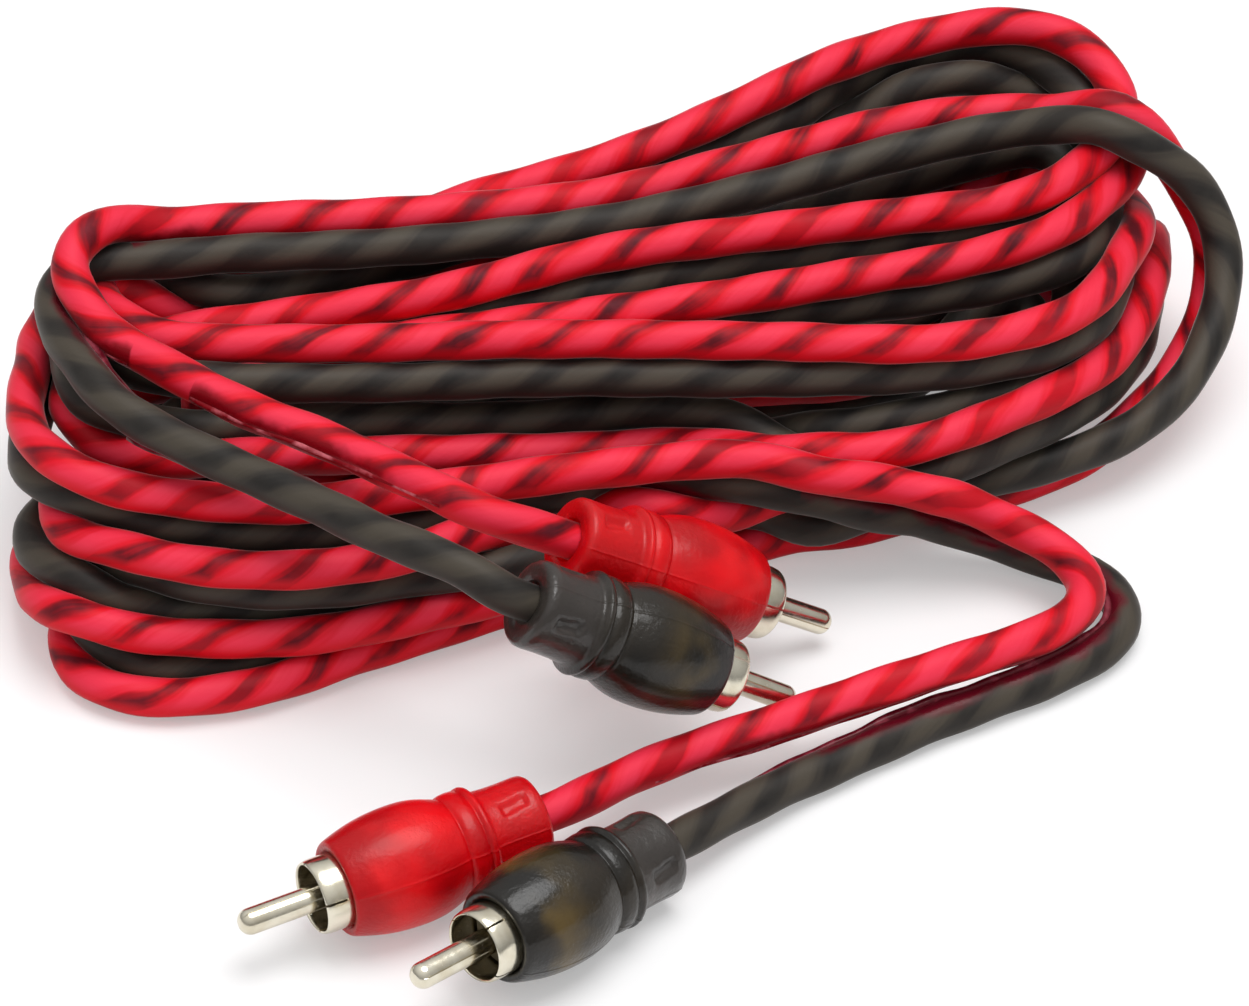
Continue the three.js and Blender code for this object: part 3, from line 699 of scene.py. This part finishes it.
def ring_faces(rings, sides, closed=True):
    faces = []
    for i in range(rings if closed else rings - 1):
        j = (i + 1) % rings
        for k in range(sides):
            n = (k + 1) % sides
            faces.append((i * sides + k, i * sides + n, j * sides + n, j * sides + k))
    return faces


def outward(piece):
    """Turns a closed shell's faces outwards."""
    shape = bmesh.new()
    shape.from_mesh(piece.data)
    bmesh.ops.remove_doubles(shape, verts=shape.verts, dist=1e-7)
    bmesh.ops.recalc_face_normals(shape, faces=shape.faces)
    shape.to_mesh(piece.data)
    shape.free()


def finer(outline, step):
    """The outline with no two stations further apart than a step."""
    made = []
    for (a, ra), (b, rb) in zip(outline[:-1], outline[1:]):
        parts = max(1, math.ceil(math.hypot(b - a, rb - ra) / step))
        made += [(a + (b - a) * k / parts, ra + (rb - ra) * k / parts) for k in range(parts)]
    return made + [outline[-1]]


def smooth_curve(outline):
    """The outline rounded off through its stations."""
    points = np.array([(a, r, 0) for a, r in outline], float)
    return [(float(p[0]), float(p[1])) for p in along(points, [3] * (len(points) - 1))]


def shell_angles(parting):
    """Even sides, and a few more close to the two parting lines."""
    near = sorted({round(s * x, 4) for x in CLOSE_TO_RIDGE for s in (-1, 1)})
    even = [2 * math.pi * k / SHELL_SIDES for k in range(SHELL_SIDES)]
    angles = [a for a in even if abs(math.sin(a)) > CLEAR_OF_RIDGE]
    angles += [base + x for base in (0, math.pi) for x in near]
    return sorted(math.radians(parting) + a for a in angles)


def keep_back(piece, name):
    """A UV map of the distance behind the face, in centimetres, and the turn round the axis."""
    face, side, rise, ahead = plug_axes(name)
    layer = piece.data.uv_layers.new(name="back")
    for loop in piece.data.loops:
        off = np.array(piece.data.vertices[loop.vertex_index].co) * 1000 - face
        layer.data[loop.index].uv = (-off.dot(ahead) / 10, math.atan2(off.dot(rise), off.dot(side)))


def overmould(name):
    parting = math.radians(PARTING[name])

    def push(back, radius, angle):
        off_line = math.remainder(angle - parting, math.pi)
        ridge = RIDGE_HEIGHT * max(0.0, 1 - abs(off_line) * radius / RIDGE_HALF_WIDTH)
        lean = RECESS_LEAN * (back - RECESS_AT)
        at = math.remainder(angle - parting - math.pi / 4 - lean, math.pi / 2)
        inside = min(RECESS_HALF_LENGTH - abs(back - RECESS_AT), RECESS_HALF_WIDTH - abs(at) * radius)
        sunk = min(1.0, max(0.0, inside / RECESS_EDGE + 0.5))
        return ridge - RECESS_DEPTH * sunk * sunk * (3 - 2 * sunk)

    outer = smooth_curve(BARREL) + BAND + finer(TAIL[:5], TAIL_STEP) + TAIL[5:]
    angles = shell_angles(PARTING[name])
    points = rings_of(outer, angles, push) + rings_of(BORE, angles)
    faces = ring_faces(len(outer) + len(BORE), len(angles))
    piece = mesh_piece(f"{name}_shell", plug_place(name, points), faces)
    outward(piece)
    keep_back(piece, name)
    return piece


def shell_finish(name, tint, dark, glow, tail, clear, roughness):
    """Satin translucent plastic: a fine mould grain, cloudy depth, the core showing through in places, a
    painted shadow of the collar near the face, and a tail lightened with painted light through it.
    """
    mix = Mixer(name)
    place = mix.place()
    far = mix.maths("ADD", mix.on_map("back")[0], mix.sway(place, 260, 2, 0.35))
    # A painted shadow of the collar inside: the barrel goes darker close to the face.
    painted_collar_shadow = mix.rest_of(mix.ramp(far, 0.12, 0.34))
    over_core = mix.maths("MULTIPLY", mix.ramp(far, 0.25, 0.5), mix.rest_of(mix.ramp(far, 0.55, 1.25)))
    cloud = mix.ramp(mix.noise(place, 130), 0.38, 0.7)
    depth = mix.maths("MULTIPLY", mix.ramp(mix.noise(place, 95), 0.35, 0.65), 0.85)
    seen = mix.blend(mix.maths("MULTIPLY", over_core, cloud), mix.blend(depth, dark, tint), glow)
    barrel = mix.blend(mix.maths("MULTIPLY", painted_collar_shadow, 0.7), seen, dark)
    # The tail is clearer and takes the tail tone; on the smoke plugs that lighter grey is painted light from
    # the floor coming through.
    in_tail = mix.ramp(far, 1.75, 2.05)
    clearer = mix.maths("MULTIPLY", in_tail, 0.3)
    mix.set(Base_Color=mix.blend(in_tail, barrel, tail), Roughness=roughness,
            Transmission_Weight=mix.maths("ADD", clearer, clear))
    coarse = mix.maths("MULTIPLY", mix.noise(place, 420), 1.2)
    mix.bump(mix.maths("ADD", mix.noise(place, 2000, 3), coarse), 0.00014, 0.7)
    return mix


# Per plug: tint, dark (also the painted collar shadow), glow, tail (on the smoke lighter with painted light
# through it), clearness, roughness.
shell_finishes = {
    "red": shell_finish("red_overmould", colour(255, 2, 18), colour(190, 0, 12), colour(255, 30, 36),
                        colour(244, 6, 22), 0.2, 0.36),
    "smoke": shell_finish("smoke_overmould", colour(50, 42, 31), colour(22, 19, 14), colour(104, 84, 42),
                          colour(84, 77, 72), 0.34, 0.28)}
shell_finishes["red"].set(Specular_IOR_Level=0.25, Coat_Weight=0.2, Coat_Roughness=0.18, IOR=1.38,
                          Subsurface_Weight=0.4, Subsurface_Radius=(1, 0.05, 0.06), Subsurface_Scale=0.002)
shell_finishes["smoke"].set(Specular_IOR_Level=0.3, IOR=1.4, Coat_Weight=0.35, Coat_Roughness=0.15)
ends = {}
for name in PLUGS:
    shell = overmould(name)
    channel = name.split("_")[1]
    dress(shell, shell_finishes[channel])
    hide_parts(f"{name}_overmould")
    ends[name] = [shell]


# The ground collars.
# Each is drawn from thin brass sheet and nickel plated. Four slits from the front make leaves that grip
# the jack, and the back end is held in the overmould.
COLLAR = [(6.0, 4.1), (6.0, 4.5), (0.2, 4.5), (-1.2, 4.54), (-2.3, 4.52), (-2.9, 4.42), (-3.15, 4.3),
          (-3.2, 4.2), (-3.15, 4.1), (-3.0, 4.02), (-2.3, 4.12), (-1.2, 4.15), (0.2, 4.1)]
SLITS, SLIT_WIDTH, SLIT_RADII, SLIT_ENDS = 4, 0.28, (3.6, 5.2), (-4.2, -0.5)
BOX_FACES = ((0, 1, 3, 2), (4, 6, 7, 5), (0, 4, 5, 1), (2, 3, 7, 6), (0, 2, 6, 4), (1, 5, 7, 3))
METAL_SIDES = 64
even_sides = [2 * math.pi * k / METAL_SIDES for k in range(METAL_SIDES)]


def slit_cutter(name):
    """Thin boxes, one for each slit."""
    points, faces = [], []
    for k in range(SLITS):
        turn = math.radians(PARTING[name]) + k * 2 * math.pi / SLITS
        base = len(points)
        for r in SLIT_RADII:
            for s in (-SLIT_WIDTH / 2, SLIT_WIDTH / 2):
                for back in SLIT_ENDS:
                    points.append((r * math.cos(turn) - s * math.sin(turn),
                                   r * math.sin(turn) + s * math.cos(turn), -back))
        faces += [tuple(base + i for i in quad) for quad in BOX_FACES]
    cutter = mesh_piece("cutter", plug_place(name, points), faces)
    outward(cutter)
    return cutter


def collar(name):
    points = plug_place(name, rings_of(COLLAR, even_sides))
    piece = mesh_piece(f"{name}_collar", points, ring_faces(len(COLLAR), METAL_SIDES))
    outward(piece)
    cutter = slit_cutter(name)
    cut = piece.modifiers.new("slits", "BOOLEAN")
    cut.operation, cut.solver, cut.object = "DIFFERENCE", "EXACT", cutter
    bpy.context.view_layer.update()
    slit = bpy.data.meshes.new_from_object(piece.evaluated_get(bpy.context.evaluated_depsgraph_get()))
    piece.modifiers.clear()
    piece.data = slit
    slit.shade_smooth()
    slit.set_sharp_from_angle(angle=math.radians(40))
    bpy.data.objects.remove(cutter)
    return piece


nickel = Mixer("nickel_plate")
spot = nickel.place()
nickel.set(Metallic=1.0, Base_Color=nickel.blend(nickel.ramp(nickel.noise(spot, 320, 3), 0.35, 0.7),
                                                 colour(228, 222, 204), colour(212, 203, 180)),
           Roughness=nickel.ramp(nickel.noise(spot, 1400, 4), -0.6, 3.2))
nickel.bump(nickel.noise(spot, 2600, 2), 0.000006, 0.3)
for name in PLUGS:
    piece = collar(name)
    dress(piece, nickel)
    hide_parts(f"{name}_ground_collar")
    ends[name].append(piece)


# The centre pins.
# Each pin is rolled from nickel-plated sheet, which leaves a seam along it, and has a rounded tip.
# It is pressed through the insulator.
PIN_RADIUS = 1.6
PIN = [(6, 0.05), (6, PIN_RADIUS), (-11.2, PIN_RADIUS), (-11.5, 1.57), (-11.8, 1.47), (-12.1, 1.3),
       (-12.35, 1.05), (-12.52, 0.78), (-12.58, 0.5), (-12.6, 0.05)]
PIN_SEAM_WIDTH, PIN_SEAM_DEPTH, PIN_SEAM_FRONT = 0.09, 0.12, -12.0
PIN_SEAM_TURN = {"upper": 0.35, "front": 0.9}


def pin(name):
    seam = math.radians(PARTING[name]) + PIN_SEAM_TURN[name.split("_")[0]]
    half = PIN_SEAM_WIDTH / PIN_RADIUS
    angles = sorted([2 * math.pi * k / METAL_SIDES + seam for k in range(3, METAL_SIDES - 2)]
                    + [seam + x for x in (-2 * half, -half, 0, half, 2 * half)])

    def push(back, radius, angle):
        off = abs(math.remainder(angle - seam, 2 * math.pi))
        in_seam = back > PIN_SEAM_FRONT and radius > 1
        return -PIN_SEAM_DEPTH * max(0.0, 1 - off / half) if in_seam else 0

    points = rings_of(PIN, angles, push)
    count = len(angles)
    faces = ring_faces(len(PIN), count, closed=False)
    faces += [tuple(range(count)), tuple(range(len(points) - count, len(points)))]
    piece = mesh_piece(f"{name}_pin", plug_place(name, points), faces)
    outward(piece)
    piece.data.set_sharp_from_angle(angle=math.radians(35))
    return piece


for name in PLUGS:
    piece = pin(name)
    dress(piece, nickel)
    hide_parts(f"{name}_centre_pin")
    ends[name].append(piece)


# The insulators.
# A moulded plastic disc in each collar keeps the pin in the middle and apart from the collar. It has a
# raised rim and a shallow dish round the pin.
INSULATOR = [(4.2, 1.9), (4.2, 3.78), (0.75, 3.78), (0.6, 3.62), (0.6, 2.5), (0.95, 2.35), (0.95, 1.9)]


def insulator(name):
    points = plug_place(name, rings_of(INSULATOR, even_sides))
    piece = mesh_piece(f"{name}_disc", points, ring_faces(len(INSULATOR), METAL_SIDES))
    outward(piece)
    piece.data.set_sharp_from_angle(angle=math.radians(40))
    return piece


def two_shades(name, scale, first, second, detail=2.0, **sockets):
    """Two near shades mixed by a fine noise."""
    mix = Mixer(name)
    mix.set(Base_Color=mix.blend(mix.noise(mix.place(), scale, detail), first, second), **sockets)
    return mix


disc_plastic = two_shades("insulator_plastic", 700, colour(92, 78, 48), colour(60, 52, 34), 3,
                          Roughness=0.45)
disc_plastic.bump(disc_plastic.noise(disc_plastic.place(), 1800, 2), 0.00003, 0.5)
for name in PLUGS:
    piece = insulator(name)
    dress(piece, disc_plastic)
    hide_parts(f"{name}_insulator")
    ends[name].append(piece)


# The core mouldings.
# The first shot of cream plastic sits behind the metal parts and grips the two wires, so that the
# overmould can be shot round it.
core_plastic = two_shades("core_plastic", 300, colour(226, 196, 120), colour(190, 156, 84), 3,
                          Roughness=0.5)
for name in PLUGS:
    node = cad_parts[f"{name}_core_moulding"]
    dress(node, core_plastic)
    ends[name].append(node)


# The signal wires.
# The inner conductor in its pale insulation runs from the cord to the back of the pin.
wire_insulation = two_shades("signal_insulation", 900, colour(236, 230, 218), colour(214, 206, 190),
                             Roughness=0.5)
for name in PLUGS:
    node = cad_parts[f"{name}_signal_wire"]
    dress(node, wire_insulation)
    ends[name].append(node)


# The ground wires.
# The bare copper strands of the outer conductor are twisted together and soldered to the collar.
copper = two_shades("bare_copper", 1200, colour(196, 120, 74), colour(166, 92, 56), Roughness=0.35,
                    Metallic=1.0)
for name in PLUGS:
    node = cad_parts[f"{name}_ground_wire"]
    dress(node, copper)
    ends[name].append(node)


# The setting.
# A plain pale floor, a sky that is brighter above, and one broad soft lamp nearly overhead.
FLOOR_HALF = 4
PAPER_GLOW = 0.34
SKY_ABOVE, SKY_LOW = 0.95, 0.22
LAMP_ENERGY, LAMP_SPREAD, LAMP_TURN = 1.75, 40, (-5, 10, 0)
floor_mesh = bpy.data.meshes.new("floor")
floor_corners = [(x * FLOOR_HALF, y * FLOOR_HALF, 0) for x, y in ((-1, -1), (1, -1), (1, 1), (-1, 1))]
floor_mesh.from_pydata(floor_corners, [], [(0, 1, 2, 3)])
floor = bpy.data.objects.new("floor", floor_mesh)
bpy.context.scene.collection.objects.link(floor)
paper = Mixer("floor_paper")
paper.set(Base_Color=(0.93, 0.925, 0.93, 1), Roughness=0.9, Specular_IOR_Level=0.1)


def seen_ray(mix):
    """One for the rays that show a thing as it looks: straight, mirrored or through glass."""
    rays = mix.node("ShaderNodeLightPath").outputs
    mirrored = mix.maths("MAXIMUM", rays["Is Glossy Ray"], rays["Is Transmission Ray"])
    return mix.maths("MAXIMUM", rays["Is Camera Ray"], mirrored)


glow = paper.node("ShaderNodeEmission", {"Strength": 1.0}).outputs[0]
lit = paper.node("ShaderNodeMixShader", {
    0: paper.maths("MULTIPLY", seen_ray(paper), PAPER_GLOW), 1: paper.shader.outputs[0], 2: glow})
paper.wires.new(lit.outputs[0], paper.nodes["Material Output"].inputs["Surface"])
floor_mesh.materials.append(paper.material)

world = bpy.data.worlds.new("sky")
bpy.context.scene.world = world
world.use_nodes = True
sky, sky_wires = world.node_tree.nodes, world.node_tree.links
way = sky.new("ShaderNodeTexCoord")
parts = sky.new("ShaderNodeSeparateXYZ")
rise = sky.new("ShaderNodeMapRange")
for key, value in (("From Min", 0.0), ("From Max", 1.0), ("To Min", SKY_LOW), ("To Max", SKY_ABOVE)):
    rise.inputs[key].default_value = value
sky_wires.new(way.outputs["Generated"], parts.inputs[0])
sky_wires.new(parts.outputs[2], rise.inputs["Value"])
sky["Background"].inputs["Color"].default_value = (1, 1, 1, 1)
sky_wires.new(rise.outputs[0], sky["Background"].inputs["Strength"])

lamp_data = bpy.data.lights.new("soft_lamp", "SUN")
lamp_data.energy = LAMP_ENERGY
lamp_data.angle = math.radians(LAMP_SPREAD)
lamp = bpy.data.objects.new("soft_lamp", lamp_data)
lamp.rotation_euler = [math.radians(turn) for turn in LAMP_TURN]
bpy.context.scene.collection.objects.link(lamp)

bpy.context.scene.view_settings.view_transform = "Standard"
